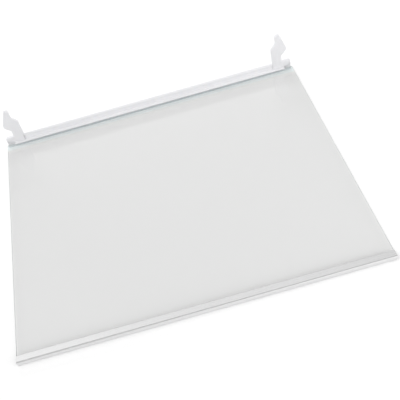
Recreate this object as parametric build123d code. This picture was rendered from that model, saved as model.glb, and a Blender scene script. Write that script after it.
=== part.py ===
from build123d import *
import os

os.makedirs("parts", exist_ok=True)

# Fridge shelf: a toughened glass sheet, a bright channel strip on its front edge, and a white moulded trim
# on its rear edge with an upstand and two barbed hooks that hold the shelf in its cabinet.
# Millimetres. X runs across the shelf, +Y to the rear and +Z up. The origin is on the surface that the
# shelf lies on, under the middle of the whole shelf.

# Whole shelf
shelf_depth = 400.0  # front face of the strip to rear face of the trim

# Glass sheet
glass_width = 450.0
glass_thickness = 4.0
glass_corner_radius = 1.5
glass_arris = 0.3  # ground bevel along every edge

# Channels that grip the glass
leg_wall = 1.5  # leg under the glass, the same on both trims, so that the sheet lies level
channel_clearance = 0.1  # above the glass, and between its edge and the wall of the channel

# Front strip
strip_front_wall = 1.5
strip_top_wall = 1.5
strip_top_reach = 10.0  # front face to the free edge of the leg above the glass
strip_bottom_reach = 8.0  # front face to the free edge of the leg below the glass
strip_top_round = 2.0
strip_bottom_round = 1.0
strip_edge_round = 0.4  # free edges of both legs

# Rear trim
trim_end_gap = 2.0  # glass that shows beyond each end of the trim
trim_back_wall = 2.5
trim_leg_reach = 6.0  # rear face to the free edge of the leg below the glass
trim_leg_round = 0.5
trim_height = 18.0  # top of the upstand
upstand_thickness = 4.0
lip_reach = 5.7  # from the upstand to the nose of the lip above the glass
lip_nose = 1.0  # thickness of the nose
lip_end_gap = 11.0  # the upstand and its lip stop this far short of each end of the trim
flare_rise = 2.6  # lead-in under the lip, at its nose
flare_run = 4.5

# End blocks, which close the trim beyond the lip and leave a pocket above the glass
block_rise = 2.0  # above the upstand
block_drop = 7.0  # below the top of the upstand, down to the pocket
block_round = 3.0

# Hooks, standing on the trim between the upstand and the end blocks
hook_end_gap = 13.0  # end of the trim to the stem
hook_thickness = 5.0
hook_setback = 0.6  # rear face of the hooks, in from the rear face of the trim
stem_width = 15.6
shoulder_height = 26.0  # above the upstand, where the inner side of the stem turns outwards
jog_run = 8.0
jog_rise = 9.0
finger_width = 7.2
hook_height = 49.0  # top of the upstand to the tip of the finger
notch_height = 10.5  # top of the end block to the root of the barb
barb_reach = 8.4  # beyond the outer side of the stem
barb_slope = 7.5  # rise of the sloping catch under the barb
barb_land = 5.5  # height of the barb's outer side
hook_front_round = 1.5
hook_rear_round = 0.8

# Places that several pieces share
front_y = -shelf_depth / 2
rear_y = shelf_depth / 2
glass_bottom = leg_wall
glass_top = glass_bottom + glass_thickness
channel_top = glass_top + channel_clearance
glass_front_y = front_y + strip_front_wall + channel_clearance
glass_rear_y = rear_y - trim_back_wall - channel_clearance
back_wall_y = rear_y - trim_back_wall
upstand_y = rear_y - upstand_thickness
upstand_round = 0.7 * upstand_thickness
lip_top = channel_top + flare_rise + lip_nose
trim_half = glass_width / 2 - trim_end_gap
lip_half = trim_half - lip_end_gap


def outline(corners):
    """Closed face from (point, radius) corners, where a radius of 0 leaves the corner sharp."""
    points = [point for point, radius in corners]
    radii = [radius for point, radius in corners]
    return make_face(FilletPolyline(*points, radius=radii, close=True))


def run_across(section, half_width):
    """Section drawn as (Y, Z), extruded along X to both sides of the middle of the shelf."""
    return extrude(Plane.YZ * section, amount=half_width, both=True)


def make_glass():
    """Flat sheet with rounded corners and a ground bevel round both faces."""
    depth = glass_rear_y - glass_front_y
    sheet = extrude(RectangleRounded(glass_width, depth, glass_corner_radius), amount=glass_thickness)
    rims = sheet.faces().filter_by(Axis.Z).edges()
    sheet = chamfer(rims, glass_arris)
    return Pos(0, (glass_front_y + glass_rear_y) / 2, glass_bottom) * sheet


def make_front_strip():
    """Channel that opens to the rear, with a rounded front that wraps the edge of the glass."""
    top = channel_top + strip_top_wall
    wall_y = front_y + strip_front_wall
    top_edge_y = front_y + strip_top_reach
    bottom_edge_y = front_y + strip_bottom_reach
    section = outline([
        ((front_y, 0), strip_bottom_round),
        ((front_y, top), strip_top_round),
        ((top_edge_y, top), strip_edge_round),
        ((top_edge_y, channel_top), strip_edge_round),
        ((wall_y, channel_top), 0),
        ((wall_y, glass_bottom), 0),
        ((bottom_edge_y, glass_bottom), strip_edge_round),
        ((bottom_edge_y, 0), strip_edge_round),
    ])
    return run_across(section, glass_width / 2)


def make_trim_spine():
    """Back wall and lower leg, over the whole length of the trim."""
    leg_edge_y = rear_y - trim_leg_reach
    wall_top = trim_height - upstand_round
    section = outline([
        ((rear_y, 0), trim_leg_round),
        ((leg_edge_y, 0), trim_leg_round),
        ((leg_edge_y, glass_bottom), trim_leg_round),
        ((back_wall_y, glass_bottom), 0),
        ((back_wall_y, wall_top), 0),
        ((rear_y, wall_top), 0),
    ])
    return run_across(section, trim_half)


def make_trim_ridge():
    """Upstand with a rounded top, and the lip in front of it, which flares up from the glass at its nose."""
    nose_y = upstand_y - lip_reach
    section = outline([
        ((rear_y, channel_top), 0),
        ((nose_y + flare_run, channel_top), 0),
        ((nose_y, channel_top + flare_rise), 0.4 * lip_nose),
        ((nose_y, lip_top), 0.4 * lip_nose),
        ((upstand_y, lip_top), lip_nose),
        ((upstand_y, trim_height), upstand_round),
        ((rear_y, trim_height), 0.2 * upstand_thickness),
    ])
    return run_across(section, lip_half)


def make_hook():
    """Right-hand hook and end block: a stem that jogs outwards to a finger, with a barb on its outer side."""
    stem_out = trim_half - hook_end_gap
    stem_in = stem_out - stem_width
    finger_in = stem_in + jog_run
    finger_out = finger_in + finger_width
    barb_x = stem_out + barb_reach
    foot_z = lip_top - lip_nose
    pocket_z = trim_height - block_drop
    block_z = trim_height + block_rise
    barb_root_z = block_z + notch_height
    barb_low_z = barb_root_z + barb_slope
    shoulder_z = trim_height + shoulder_height
    tip_z = trim_height + hook_height
    tip_round = 0.45 * finger_width
    face = outline([
        ((stem_in, foot_z), 0),
        ((stem_in, shoulder_z), 0.5 * jog_run),
        ((finger_in, shoulder_z + jog_rise), 0.5 * jog_run),
        ((finger_in, tip_z), tip_round),
        ((finger_out, tip_z), tip_round),
        ((barb_x, barb_low_z + barb_land), barb_reach),
        ((barb_x, barb_low_z), 0.5 * barb_reach),
        ((stem_out, barb_root_z), 0.3 * barb_reach),
        ((stem_out, block_z), 0.2 * barb_reach),
        ((trim_half, block_z), block_round),
        ((trim_half, pocket_z), 0),
        ((lip_half, pocket_z), 0),
        ((lip_half, foot_z), 0),
    ])
    plate = Pos(0, rear_y - hook_setback, 0) * extrude(Plane.XZ * face, amount=hook_thickness)
    for side, radius in ((0, hook_front_round), (-1, hook_rear_round)):
        rim = plate.faces().filter_by(Axis.Y).sort_by(Axis.Y)[side].edges()
        plate = fillet(rim.filter_by(lambda edge: edge.center().Z > pocket_z + radius), radius)
    return plate


def make_rear_trim():
    """The whole trim with its pair of hooks, moulded in one."""
    hook = make_hook()
    return make_trim_spine() + make_trim_ridge() + hook + mirror(hook, about=Plane.YZ)


export_step(make_glass(), "parts/glass_panel.step")
export_step(make_front_strip(), "parts/front_trim.step")
export_step(make_rear_trim(), "parts/rear_trim.step")
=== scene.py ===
# %% [markdown]
# # A glass shelf for a fridge
# The shelf is a sheet of toughened glass with a bright channel strip on its front edge and a white moulded
# trim on its rear edge, which ends in two barbed hooks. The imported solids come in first, as a frame that stays
# where it is, and the looks are built round them. Everything is in metres, with +X across the shelf, +Y to its
# rear and +Z up.

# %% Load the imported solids
import math

import bmesh
import bpy
from mathutils import Matrix, Vector


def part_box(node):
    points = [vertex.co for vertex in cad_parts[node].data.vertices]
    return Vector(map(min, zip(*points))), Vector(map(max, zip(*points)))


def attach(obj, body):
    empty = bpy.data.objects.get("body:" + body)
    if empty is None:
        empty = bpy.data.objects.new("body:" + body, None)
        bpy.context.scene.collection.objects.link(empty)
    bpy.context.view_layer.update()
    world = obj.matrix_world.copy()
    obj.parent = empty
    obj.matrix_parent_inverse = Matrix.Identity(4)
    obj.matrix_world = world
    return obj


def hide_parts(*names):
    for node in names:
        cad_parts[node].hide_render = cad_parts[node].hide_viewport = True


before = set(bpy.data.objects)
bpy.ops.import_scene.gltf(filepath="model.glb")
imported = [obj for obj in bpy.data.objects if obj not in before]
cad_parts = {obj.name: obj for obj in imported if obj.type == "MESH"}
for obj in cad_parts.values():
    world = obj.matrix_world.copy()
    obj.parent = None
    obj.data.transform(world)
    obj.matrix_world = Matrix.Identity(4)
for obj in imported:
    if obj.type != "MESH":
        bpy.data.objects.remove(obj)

scene = bpy.context.scene
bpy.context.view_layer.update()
print("nodes:", sorted(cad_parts))

# %% [markdown]
# ## Camera
# The shelf lies flat and the photographer stood in front of it, looking down by about 45 degrees through a
# longish lens. The camera was rolled, so the front edge climbs to the right. The sides of the glass run
# together towards the rear, and how fast they do so fixes the lens and the distance. The picture was cut off
# centre, and the camera's shift carries that.

# %% Camera
view_pitch = math.radians(45.33)
view_roll = math.radians(-15.68)
view_from = (0.0, -0.6875, 0.6726)
sensor_width = 36.0  # millimetres, as is the lens
lens = 64.78
shift_right, shift_up = 0.0546, 0.0169

camera_data = bpy.data.cameras.new("shelf_camera")
camera_data.sensor_width = sensor_width
camera_data.lens = lens
camera_data.shift_x = shift_right
camera_data.shift_y = shift_up
camera = bpy.data.objects.new("shelf_camera", camera_data)
camera.matrix_world = (
    Matrix.Translation(view_from)
    @ Matrix.Rotation(math.pi / 2 - view_pitch, 4, "X")
    @ Matrix.Rotation(view_roll, 4, "Z")
)
scene.collection.objects.link(camera)
scene.camera = camera
scene.view_settings.view_transform = "Standard"
print("camera at", [round(place, 3) for place in view_from], "lens", round(lens, 1), "mm")

# %% [markdown]
# ## Helpers for node trees
# Every finish here is a small tree of nodes, and so is the tree that sweeps the strip. One helper adds a node,
# sets its properties, and sets or links its inputs by name or number. With it, the cells below read as a list
# of what each finish is made of. Two more start an empty material and a group with named sockets. The last
# three are short forms of the nodes that come up most: a sum, a mix of two colours, and a ramp.

# %% Node helpers
def put(tree, kind, inputs=None, **settings):
    """Adds a node, sets its properties, and sets or links its inputs by name or number."""
    node = tree.nodes.new(kind)
    for name, value in settings.items():
        setattr(node, name, value)
    for name, value in (inputs or {}).items():
        socket = node.inputs[name]
        if isinstance(value, bpy.types.NodeSocket):
            tree.links.new(value, socket)
        else:
            socket.default_value = value
    return node


def new_material(name):
    """An empty material, its tree and the Surface socket of its output."""
    material = bpy.data.materials.new(name)
    material.use_nodes = True
    material.node_tree.nodes.clear()
    output = put(material.node_tree, "ShaderNodeOutputMaterial")
    return material, material.node_tree, output.inputs["Surface"]


def new_group(name, kind, inputs, outputs):
    """A node group with named sockets, each given as name: type."""
    group = bpy.data.node_groups.new(name, kind)
    for socket, socket_type in inputs.items():
        group.interface.new_socket(socket, in_out="INPUT", socket_type=socket_type)
    for socket, socket_type in outputs.items():
        group.interface.new_socket(socket, in_out="OUTPUT", socket_type=socket_type)
    return group, put(group, "NodeGroupInput").outputs, put(group, "NodeGroupOutput").inputs


def reckon(tree, operation, first, second):
    """The result of a Math node."""
    return put(tree, "ShaderNodeMath", {0: first, 1: second}, operation=operation).outputs[0]


def mix_colours(tree, share, first, second):
    """A colour between two others, by a share from 0 to 1."""
    return put(tree, "ShaderNodeMix", {0: share, 6: first, 7: second}, data_type="RGBA").outputs[2]


def ramp(tree, value, start=0.0, end=1.0, low=0.0, high=1.0, curve="LINEAR"):
    """A value that goes from low to high while the given one goes from start to end."""
    return put(tree, "ShaderNodeMapRange", {
        "Value": value,
        "From Min": start,
        "From Max": end,
        "To Min": low,
        "To Max": high,
    }, interpolation_type=curve).outputs[0]


# %% [markdown]
# ## Floor
# The shelf lies on white paper. A matt white plane takes the shelf's soft shadow. A little light of its own,
# shown only to the camera and to what glass and metal let through or mirror, lifts the paper to white. It
# doesn't light the shelf, so the colours of the shelf stay as they are written. The lift fades a little towards
# the front right, and shiny surfaces mirror half of it, so that the front of the strip keeps its grey.

# %% Floor
floor_half = 6.0
floor_gap = 0.0002
paper_white = (0.90, 0.90, 0.90, 1.0)
plain_white = (1.0, 1.0, 1.0, 1.0)
lift_at_rear, lift_at_front = 0.208, 0.191
fade_along = (0.45, -0.89, 0.0)
fade_from, fade_to = -0.20, 0.26
mirrored_share = 0.5

floor_mesh = bpy.data.meshes.new("floor")
floor_sides = ((-1, -1), (1, -1), (1, 1), (-1, 1))
floor_corners = [(x * floor_half, y * floor_half, -floor_gap) for x, y in floor_sides]
floor_mesh.from_pydata(floor_corners, [], [(0, 1, 2, 3)])
floor = bpy.data.objects.new("floor", floor_mesh)
scene.collection.objects.link(floor)

paper, tree, surface = new_material("white_paper")
ray = put(tree, "ShaderNodeLightPath").outputs
mirrored = reckon(tree, "MULTIPLY", ray["Is Glossy Ray"], mirrored_share)
seen = reckon(tree, "MAXIMUM", ray["Is Camera Ray"], mirrored)
seen = reckon(tree, "MAXIMUM", seen, ray["Is Transmission Ray"])
place = put(tree, "ShaderNodeTexCoord").outputs["Object"]
along = put(tree, "ShaderNodeVectorMath", {0: place, 1: fade_along}, operation="DOT_PRODUCT").outputs["Value"]
fading = ramp(tree, along, fade_from, fade_to, lift_at_rear, lift_at_front)
sheet = put(tree, "ShaderNodeBsdfPrincipled", {
    "Base Color": paper_white,
    "Roughness": 1.0,
    "Specular IOR Level": 0.0,
    "Emission Color": plain_white,
    "Emission Strength": reckon(tree, "MULTIPLY", seen, fading),
})
tree.links.new(sheet.outputs[0], surface)
floor_mesh.materials.append(paper)
print("floor", 2 * floor_half, "m square")

# %% [markdown]
# ## Studio light
# A pale studio surrounds the shelf. The world is a plain grey with broad soft patches of light on it: to the
# left and right of the shelf, high behind it, overhead, at its left front, and low at its front right. They
# fade out gently, so that nothing with an edge shows in the glass or in the metal strip. Looked at directly, or
# through the glass, the studio is plain white.

# %% Studio light
studio_grey = 0.25
patches = (  # azimuth, elevation and spread in degrees, then strength
    (-90, 20, 60, 0.87),
    (0, 55, 32, 0.62),
    (-46, 54, 24, 0.44),
    (36, 52, 22, 0.07),
    (80, 22, 48, 0.42),
    (-108, 42, 36, 0.85),
    (148, 24, 62, 0.84),
    (0, 88, 50, 0.06),
)


def towards(azimuth, elevation):
    """Unit vector: azimuth 0 is the rear of the shelf and 90 its right side, in degrees."""
    a, e = math.radians(azimuth), math.radians(elevation)
    return Vector((math.sin(a) * math.cos(e), math.cos(a) * math.cos(e), math.sin(e)))


def soft_patch(tree, direction, azimuth, elevation, spread, strength):
    """Patch of light in the world, which fades out at spread degrees from its middle."""
    facing = put(tree, "ShaderNodeVectorMath", {0: direction, 1: towards(azimuth, elevation)},
                 operation="DOT_PRODUCT").outputs["Value"]
    return ramp(tree, facing, math.cos(math.radians(spread)), 1.0, 0.0, strength, curve="SMOOTHSTEP")


# %% World
world = bpy.data.worlds.new("studio")
scene.world = world
world.use_nodes = True
tree = world.node_tree
tree.nodes.clear()
output = put(tree, "ShaderNodeOutputWorld")
direction = put(tree, "ShaderNodeTexCoord").outputs["Generated"]
strength = studio_grey
for facts in patches:
    strength = reckon(tree, "ADD", soft_patch(tree, direction, *facts), strength)
ray = put(tree, "ShaderNodeLightPath").outputs
looking = reckon(tree, "MAXIMUM", ray["Is Camera Ray"], ray["Is Transmission Ray"])
shown = put(tree, "ShaderNodeMix", {0: looking, 2: strength, 3: 1.0}).outputs[0]
sky = put(tree, "ShaderNodeBackground", {"Color": plain_white, "Strength": shown})
tree.links.new(sky.outputs[0], output.inputs["Surface"])
print("studio grey", studio_grey, "with", len(patches), "soft patches")

# %% [markdown]
# ## Lamps
# Two lamps give the shadows their direction. A wide low one straight behind the shelf throws the shadow of the
# rear trim on the paper under the glass. It stands parallel to the trim, so the edge of that shadow is equally
# soft over the whole width. A smaller one in front to the right shows the faces of the hooks. A photographer
# keeps lamps out of the reflections in a sheet of glass, and here the lamps are hidden from them.


# %% Lamps
def lamp(name, azimuth, elevation, distance, width, height, watts):
    """Rectangular lamp that faces the middle of the shelf, from an azimuth and elevation in degrees."""
    place = towards(azimuth, elevation) * distance
    data = bpy.data.lights.new(name, "AREA")
    data.shape = "RECTANGLE"
    data.size, data.size_y = width, height
    data.energy = watts
    light = bpy.data.objects.new(name, data)
    light.location = place
    light.rotation_mode = "QUATERNION"
    light.rotation_quaternion = place.to_track_quat("Z", "Y")
    light.visible_glossy = False
    light.visible_transmission = False
    scene.collection.objects.link(light)
    print(name, "at", [round(coordinate, 2) for coordinate in place], "m,", watts, "W")


lamp("rear_lamp", azimuth=0, elevation=24.5, distance=1.3, width=1.1, height=0.10, watts=4.3)
lamp("front_lamp", azimuth=128, elevation=20, distance=1.05, width=0.5, height=0.3, watts=1.4)

# %% [markdown]
# ## Grain and marks
# Two things show on all the finishes when light rakes over them: a fine grain from the way the surface was
# made, and broad faint marks from handling and wiping. Both are noise, read in the shelf's own coordinates so
# that they stay on the piece. They are groups, because each material places them with its own scale.

# %% Grain and marks
marks_from, marks_to = 0.38, 0.70

grain, given, made = new_group(
    "fine_grain", "ShaderNodeTree",
    {"Place": "NodeSocketVector", "Scale": "NodeSocketFloat"}, {"Height": "NodeSocketFloat"})
coarse = put(grain, "ShaderNodeTexNoise", {
    "Vector": given["Place"],
    "Scale": given["Scale"],
    "Detail": 2.0,
})
grain.links.new(coarse.outputs["Fac"], made["Height"])

marks, given, made = new_group(
    "wiping_marks", "ShaderNodeTree",
    {"Place": "NodeSocketVector", "Scale": "NodeSocketFloat"}, {"Mask": "NodeSocketFloat"})
drift = put(marks, "ShaderNodeTexNoise", {
    "Vector": given["Place"],
    "Scale": given["Scale"],
    "Detail": 3.0,
    "Distortion": 0.6,
})
faint = ramp(marks, drift.outputs["Fac"], marks_from, marks_to, curve="SMOOTHSTEP")
marks.links.new(faint, made["Mask"])


def place_group(tree, group, place, scale):
    """Puts one of the groups in a material and gives back its output."""
    return put(tree, "ShaderNodeGroup", {"Place": place, "Scale": scale}, node_tree=group).outputs[0]


print("groups:", grain.name, "and", marks.name)

# %% [markdown]
# ## Finish of the glass
# Toughened float glass is clear, with a trace of grey from the iron in it. Its faces are polished, with a faint
# haze where they were wiped. Near the rear trim the colour of the sheet is painted lighter, a painted glow over
# the trim's shadow that stands for light running along inside the sheet and coming out, and right in front of
# the trim that painted glow is cyan. A real sheet bends and reflects the light, and the shader's transmission
# does that.
# Rays that only carry light and shadow pass straight through, because bent ones would hardly ever find a lamp.

# %% Finish of the glass
pane_tint = (0.833, 0.833, 0.831, 1.0)
# Painted light: the next two tints paint the glass lighter near the rear trim, over the trim's shadow, and cyan
# right in front of it.
painted_glow_tint = (0.905, 0.910, 0.895, 1.0)
painted_cyan_glow_tint = (0.930, 1.0, 1.0, 1.0)
pane_light = (0.91, 0.911, 0.91, 1.0)
painted_glow_from, painted_glow_to = 0.1740, 0.1850
painted_cyan_from, painted_cyan_to = 0.1832, 0.1868
smear_scale = 9.0
least_haze, most_haze = 0.012, 0.045
float_glass_ior = 1.52


def let_light_through(tree, body, light_tint):
    """The shader for what is seen, and plain transparency for rays that carry light and shadow."""
    through = put(tree, "ShaderNodeBsdfTransparent", {"Color": light_tint}).outputs[0]
    ray = put(tree, "ShaderNodeLightPath").outputs
    carries = reckon(tree, "MAXIMUM", ray["Is Shadow Ray"], ray["Is Diffuse Ray"])
    return put(tree, "ShaderNodeMixShader", {0: carries, 1: body.outputs[0], 2: through}).outputs[0]


glass, tree, surface = new_material("clear_glass")
place = put(tree, "ShaderNodeTexCoord").outputs
across = put(tree, "ShaderNodeSeparateXYZ", {0: place["Object"]}).outputs
# Painted glow: masks along Y for the lighter and the cyan painted light near the rear trim.
painted_glow = ramp(tree, across["Y"], painted_glow_from, painted_glow_to, curve="SMOOTHSTEP")
painted_cyan_glow = ramp(tree, across["Y"], painted_cyan_from, painted_cyan_to, curve="SMOOTHSTEP")
smears = place_group(tree, marks, place["Object"], smear_scale)
# The pane's own tint, mixed with the painted glow near the rear trim.
tint = mix_colours(tree, painted_glow, pane_tint, painted_glow_tint)
body = put(tree, "ShaderNodeBsdfPrincipled", {
    "Base Color": mix_colours(tree, painted_cyan_glow, tint, painted_cyan_glow_tint),
    "Roughness": ramp(tree, smears, low=least_haze, high=most_haze),
    "IOR": float_glass_ior,
    "Transmission Weight": 1.0,
})
tree.links.new(let_light_through(tree, body, pane_light), surface)
print("glass tint", pane_tint[:3])

# %% [markdown]
# ## Finish of the ground edge
# A ground edge scatters the light so much that nothing shows through it. It is a matt pale grey green, with the
# fine grain of the grinding wheel in its colour and its relief. It also holds back part of the light that falls
# through it, so the paper under the sheet is a little darker along the sides.

# %% Finish of the ground edge
edge_dull = (0.78, 0.80, 0.795, 1.0)
edge_pale = (0.86, 0.875, 0.87, 1.0)
edge_light = (0.72, 0.73, 0.725, 1.0)
wheel_scale = 2500.0
wheel_relief, wheel_depth = 0.3, 0.00003
edge_roughness = 0.6

ground_edge, tree, surface = new_material("ground_glass_edge")
place = put(tree, "ShaderNodeTexCoord").outputs
frost = place_group(tree, grain, place["Object"], wheel_scale)
relief = put(tree, "ShaderNodeBump", {"Strength": wheel_relief, "Distance": wheel_depth, "Height": frost})
body = put(tree, "ShaderNodeBsdfPrincipled", {
    "Base Color": mix_colours(tree, frost, edge_dull, edge_pale),
    "Roughness": edge_roughness,
    "Normal": relief.outputs[0],
})
tree.links.new(let_light_through(tree, body, edge_light), surface)
print("ground edge, matt and pale")

# %% [markdown]
# ## Glass sheet
# The sheet is cut, its corners are rounded, its edges are ground to a narrow bevel, and then it is toughened.
# Four rings of points make that shape: one for each face and two for the ground edge between the bevels. The
# underside stays a hair above the legs of both trims. Two surfaces in one place would fight over which one
# shows.

# %% Glass sheet
corner_radius = 0.0015
bevel = 0.0003
corner_steps = 8
leg_clearance = 0.00005
cubic_cm = 1e6  # in a cubic metre
glass_low, glass_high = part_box("glass_panel")


def rounded_ring(mesh, inset, height):
    """Ring of points round the sheet, with rounded corners, drawn in by inset."""
    radius = corner_radius - inset
    ring = []
    for turn, (side_x, side_y) in enumerate(((1, 1), (-1, 1), (-1, -1), (1, -1))):
        middle_x = (glass_high.x if side_x > 0 else glass_low.x) - side_x * corner_radius
        middle_y = (glass_high.y if side_y > 0 else glass_low.y) - side_y * corner_radius
        for step in range(corner_steps + 1):
            angle = (turn + step / corner_steps) * math.pi / 2
            x = middle_x + radius * math.cos(angle)
            y = middle_y + radius * math.sin(angle)
            ring.append(mesh.verts.new((x, y, height)))
    return ring


build = bmesh.new()
under, top = glass_low.z + leg_clearance, glass_high.z
rings = [rounded_ring(build, inset, height) for inset, height in
         ((bevel, under), (0.0, under + bevel), (0.0, top - bevel), (bevel, top))]
for lower, upper in zip(rings, rings[1:]):
    for i, corner in enumerate(lower):
        follow = (i + 1) % len(lower)
        build.faces.new((corner, lower[follow], upper[follow], upper[i])).material_index = 1
build.faces.new(list(reversed(rings[0])))
build.faces.new(rings[-1])
sheet_mesh = bpy.data.meshes.new("glass_sheet")
build.to_mesh(sheet_mesh)
print("glass sheet", len(sheet_mesh.polygons), "faces,", round(build.calc_volume() * cubic_cm, 1), "cubic cm")
build.free()

glass_sheet = bpy.data.objects.new("glass_sheet", sheet_mesh)
scene.collection.objects.link(glass_sheet)
sheet_mesh.materials.append(glass)
sheet_mesh.materials.append(ground_edge)
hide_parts("glass_panel")
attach(glass_sheet, "root")

# %% [markdown]
# ## Finish of the front strip
# The strip is drawn aluminium with a satin anodised skin. Drawing and brushing leave fine lines along it, so
# the grain is stretched along X: the lines vary the roughness and the height a little, and broad marks vary the
# colour.

# %% Finish of the front strip
metal_dull = (0.843, 0.843, 0.845, 1.0)
metal_bright = (0.853, 0.853, 0.855, 1.0)
line_stretch = (0.02, 1.0, 1.0)
line_scale = 3000.0
line_relief, line_depth = 0.08, 0.00002
wear_scale = 25.0
satin_smoothest, satin_roughest = 0.24, 0.30

satin, tree, surface = new_material("satin_aluminium")
place = put(tree, "ShaderNodeTexCoord").outputs
drawn = put(tree, "ShaderNodeMapping", {"Vector": place["Object"], "Scale": line_stretch}).outputs[0]
lines = place_group(tree, grain, drawn, line_scale)
worn = place_group(tree, marks, place["Object"], wear_scale)
relief = put(tree, "ShaderNodeBump", {"Strength": line_relief, "Distance": line_depth, "Height": lines})
body = put(tree, "ShaderNodeBsdfPrincipled", {
    "Base Color": mix_colours(tree, worn, metal_dull, metal_bright),
    "Metallic": 1.0,
    "Roughness": ramp(tree, lines, low=satin_smoothest, high=satin_roughest),
    "Normal": relief.outputs[0],
})
tree.links.new(body.outputs[0], surface)
print("satin aluminium with lines along the strip")

# %% [markdown]
# ## Front strip
# The strip is one profile, drawn through a die and cut to the width of the glass. That is a rule, so Geometry
# Nodes make it. The profile's corners are points that carry their own rounding in an attribute. The tree joins
# them to a curve, rounds every corner by its own radius and sweeps the result along the width. A sweep along X
# turns the profile's own axes to -Y and -Z, so the corners are written with both signs changed.

# %% Front strip
strip_low, strip_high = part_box("front_trim")
strip_wall = 0.0015
strip_leg = 0.008
foot_round = 0.001
nose_round = 0.002
edge_round = 0.0004
channel_floor = glass_low.z
channel_roof = strip_high.z - strip_wall
corners = (  # Y, Z and rounding
    (strip_low.y, strip_low.z, foot_round),
    (strip_low.y + strip_leg, strip_low.z, edge_round),
    (strip_low.y + strip_leg, channel_floor, edge_round),
    (strip_low.y + strip_wall, channel_floor, 0.0),
    (strip_low.y + strip_wall, channel_roof, 0.0),
    (strip_high.y, channel_roof, edge_round),
    (strip_high.y, strip_high.z, edge_round),
    (strip_low.y, strip_high.z, nose_round),
)
profile = bpy.data.meshes.new("front_strip_profile")
loop = [(i, (i + 1) % len(corners)) for i in range(len(corners))]
profile.from_pydata([(-y, -z, 0.0) for y, z, radius in corners], loop, [])
rounding = profile.attributes.new("rounding", "FLOAT", "POINT")
rounding.data.foreach_set("value", [radius for y, z, radius in corners])
strip_source = bpy.data.objects.new("front_strip_profile", profile)
scene.collection.objects.link(strip_source)
print("profile with", len(corners), "corners")

# %% Tree that sweeps the profile
sweep, given, made = new_group(
    "swept_strip", "GeometryNodeTree",
    {"Profile": "NodeSocketGeometry", "Width": "NodeSocketFloat", "Round Steps": "NodeSocketInt",
     "Finish": "NodeSocketMaterial"},
    {"Strip": "NodeSocketGeometry"})
half = reckon(sweep, "MULTIPLY", given["Width"], 0.5)
other_half = reckon(sweep, "MULTIPLY", half, -1.0)
start = put(sweep, "ShaderNodeCombineXYZ", {"X": other_half}).outputs[0]
end = put(sweep, "ShaderNodeCombineXYZ", {"X": half}).outputs[0]
path = put(sweep, "GeometryNodeCurvePrimitiveLine", {"Start": start, "End": end}).outputs[0]
joined = put(sweep, "GeometryNodeMeshToCurve", {"Mesh": given["Profile"]}).outputs[0]
radius = put(sweep, "GeometryNodeInputNamedAttribute", {"Name": "rounding"}, data_type="FLOAT")
rounded = put(sweep, "GeometryNodeFilletCurve", {
    "Curve": joined,
    "Count": given["Round Steps"],
    "Radius": radius.outputs["Attribute"],
}, mode="POLY").outputs[0]
swept = put(sweep, "GeometryNodeCurveToMesh", {
    "Curve": path,
    "Profile Curve": rounded,
    "Fill Caps": True,
}).outputs[0]
real = put(sweep, "GeometryNodeRealizeInstances", {"Geometry": swept}).outputs[0]
dressed = put(sweep, "GeometryNodeSetMaterial", {"Geometry": real, "Material": given["Finish"]}).outputs[0]
sweep.links.new(dressed, made["Strip"])
print("tree", sweep.name, "with", len(sweep.nodes), "nodes")

# %% [markdown]
# ## From tree to plain mesh
# The export wants plain meshes, so the modifier's result is copied to a new object and its source is removed.
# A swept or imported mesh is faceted. Merging its points and smoothing the shading where faces meet gently makes
# the roundings look round, and weighted normals keep the wide faces flat.

# %% Helpers for plain and smooth meshes
smooth_angle = math.radians(35)
weld_distance = 1e-6


def plain_mesh(source, name):
    """The evaluated object as a plain mesh on a new object at the origin."""
    graph = bpy.context.evaluated_depsgraph_get()
    mesh = bpy.data.meshes.new_from_object(
        source.evaluated_get(graph), preserve_all_data_layers=True, depsgraph=graph)
    mesh.name = name
    piece = bpy.data.objects.new(name, mesh)
    scene.collection.objects.link(piece)
    bpy.data.objects.remove(source)
    return piece


def smooth(source, name):
    """Merges a mesh, rounds its shading where faces meet gently, and keeps its wide faces flat."""
    welded = bmesh.new()
    welded.from_mesh(source.data)
    bmesh.ops.remove_doubles(welded, verts=welded.verts, dist=weld_distance)
    bmesh.ops.recalc_face_normals(welded, faces=welded.faces)
    welded.to_mesh(source.data)
    welded.free()
    source.data.shade_smooth()
    source.data.set_sharp_from_angle(angle=smooth_angle)
    weights = source.modifiers.new("wide_faces_flat", "WEIGHTED_NORMAL")
    weights.keep_sharp = True
    return plain_mesh(source, name)


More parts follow.
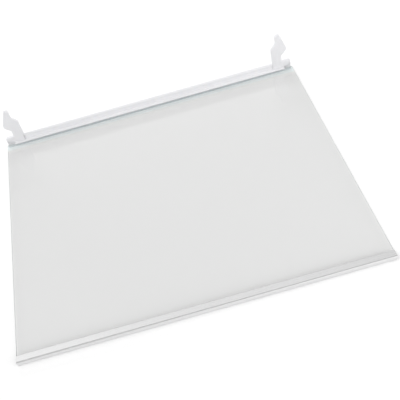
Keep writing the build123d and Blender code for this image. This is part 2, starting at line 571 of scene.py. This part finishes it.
# %% Sweep and smooth the strip
round_steps = 6
modifier = strip_source.modifiers.new("sweep", "NODES")
modifier.node_group = sweep
settings = {"Width": strip_high.x - strip_low.x, "Round Steps": round_steps, "Finish": satin}
for socket in sweep.interface.items_tree:
    if socket.in_out == "INPUT" and socket.name in settings:
        modifier[socket.identifier] = settings[socket.name]
front_strip = smooth(plain_mesh(strip_source, "swept_profile"), "front_strip")
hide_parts("front_trim")
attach(front_strip, "root")
print("front strip", len(front_strip.data.polygons), "faces")

# %% [markdown]
# ## Finish of the rear trim
# The trim is injection moulded in white plastic with a cool cast and a half gloss. A mould that was spark
# eroded or blasted leaves a very fine grain, and the plastic itself varies a little where it flowed. Both are
# slight, and they break up the highlights along the rounded edges.

# %% Finish of the rear trim
white_dull = (0.905, 0.905, 0.925, 1.0)
white_bright = (0.925, 0.925, 0.942, 1.0)
skin_scale = 1800.0
skin_relief, skin_depth = 0.2, 0.00003
flow_scale = 30.0
skin_smoothest, skin_roughest = 0.30, 0.44

plastic, tree, surface = new_material("white_plastic")
place = put(tree, "ShaderNodeTexCoord").outputs
skin = place_group(tree, grain, place["Object"], skin_scale)
flow = place_group(tree, marks, place["Object"], flow_scale)
relief = put(tree, "ShaderNodeBump", {"Strength": skin_relief, "Distance": skin_depth, "Height": skin})
body = put(tree, "ShaderNodeBsdfPrincipled", {
    "Base Color": mix_colours(tree, flow, white_dull, white_bright),
    "Roughness": ramp(tree, skin, low=skin_smoothest, high=skin_roughest),
    "Normal": relief.outputs[0],
})
tree.links.new(body.outputs[0], surface)
print("white plastic with a fine grain")

# %% [markdown]
# ## Rear trim
# The trim's solid already has its real shape: the channel for the glass, the upstand with its lip, the end
# blocks and the hooks with their rounded edges. Its mesh is loose triangles, so a copy of it is merged and
# shaded smooth.

# %% Rear trim
trim_copy = bpy.data.objects.new("rear_trim_copy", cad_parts["rear_trim"].data.copy())
scene.collection.objects.link(trim_copy)
trim_copy.data.materials.clear()
trim_copy.data.materials.append(plastic)
rear_trim = smooth(trim_copy, "rear_trim_moulding")
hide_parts("rear_trim")
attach(rear_trim, "root")
print("rear trim", len(rear_trim.data.polygons), "faces")
